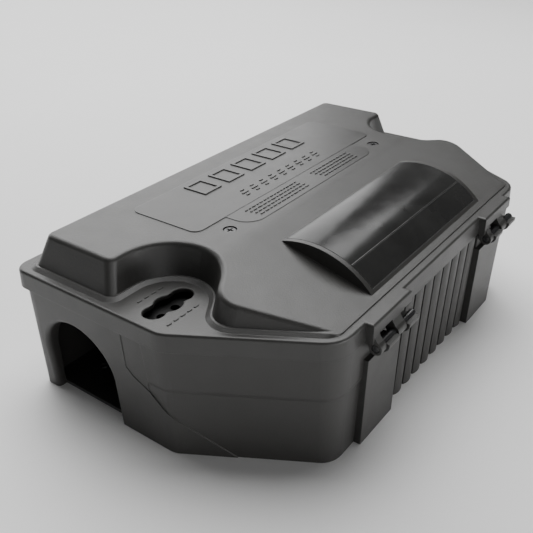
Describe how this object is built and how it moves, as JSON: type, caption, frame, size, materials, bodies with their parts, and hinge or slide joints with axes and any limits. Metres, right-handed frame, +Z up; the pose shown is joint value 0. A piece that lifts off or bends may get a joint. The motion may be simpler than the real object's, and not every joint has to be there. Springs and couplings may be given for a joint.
{
  "type": "rodent bait station",
  "caption": "Low lockable plastic box with arched entries at both ends and a front-hinged lid that has a raised plateau, scooped key slots and an arched window.",
  "frame": {"origin": "on the ground, under the middle of the lid's rim", "axes": "+X along the long side, +Y from the hinged front towards the back wall, +Z up"},
  "size_m": [0.3148, 0.2019, 0.1028],
  "materials": {
    "tub_plastic": "fine matte texture",
    "lid_plastic": "fine matte texture",
    "window_gloss": "polished",
    "tray_plastic": "satin",
    "bait_wax": "waxy, pressed grain",
    "rod_steel": "drawn wire",
    "hinge_plastic": "smooth",
    "screw_black": "black oxide",
    "spring_steel": "rolled strip",
    "lock_plastic": "satin"
  },
  "bodies": {
    "base": {"base_tub": "tub_plastic", "bait_tray": "tray_plastic", "bait_rod_back": "rod_steel", "bait_rod_front": "rod_steel", "bait_post_left": "rod_steel", "bait_post_right": "rod_steel", "post_block_left": "bait_wax", "post_block_right": "bait_wax", "bait_block_back_1": "bait_wax", "bait_block_back_2": "bait_wax", "bait_block_back_3": "bait_wax", "bait_block_front_1": "bait_wax", "bait_block_front_2": "bait_wax", "bait_block_front_3": "bait_wax"},
    "lid": {"lid_shell": "lid_plastic", "arch_window": "window_gloss", "hinge_rod_left": "hinge_plastic", "hinge_rod_right": "hinge_plastic", "lid_screw_left": "screw_black", "lock_cover_left": "lock_plastic", "lock_spring_left": "spring_steel", "lid_screw_right": "screw_black", "lock_cover_right": "lock_plastic", "lock_spring_right": "spring_steel"},
    "lock_bolt_left": {"lock_bolt_left": "lock_plastic"},
    "lock_bolt_right": {"lock_bolt_right": "lock_plastic"}
  },
  "joints": [
    {"name": "lid_hinge", "type": "hinge", "parent": "base", "child": "lid", "pos_m": [0, -0.1009, 0.0674], "axis": [1, 0, 0], "range_deg": [0, 110]},
    {"name": "lock_slide_left", "type": "slide", "parent": "lid", "child": "lock_bolt_left", "axis": [-1, 0, 0], "range_m": [0, 0.005]},
    {"name": "lock_slide_right", "type": "slide", "parent": "lid", "child": "lock_bolt_right", "axis": [1, 0, 0], "range_m": [0, 0.005]}
  ]
}
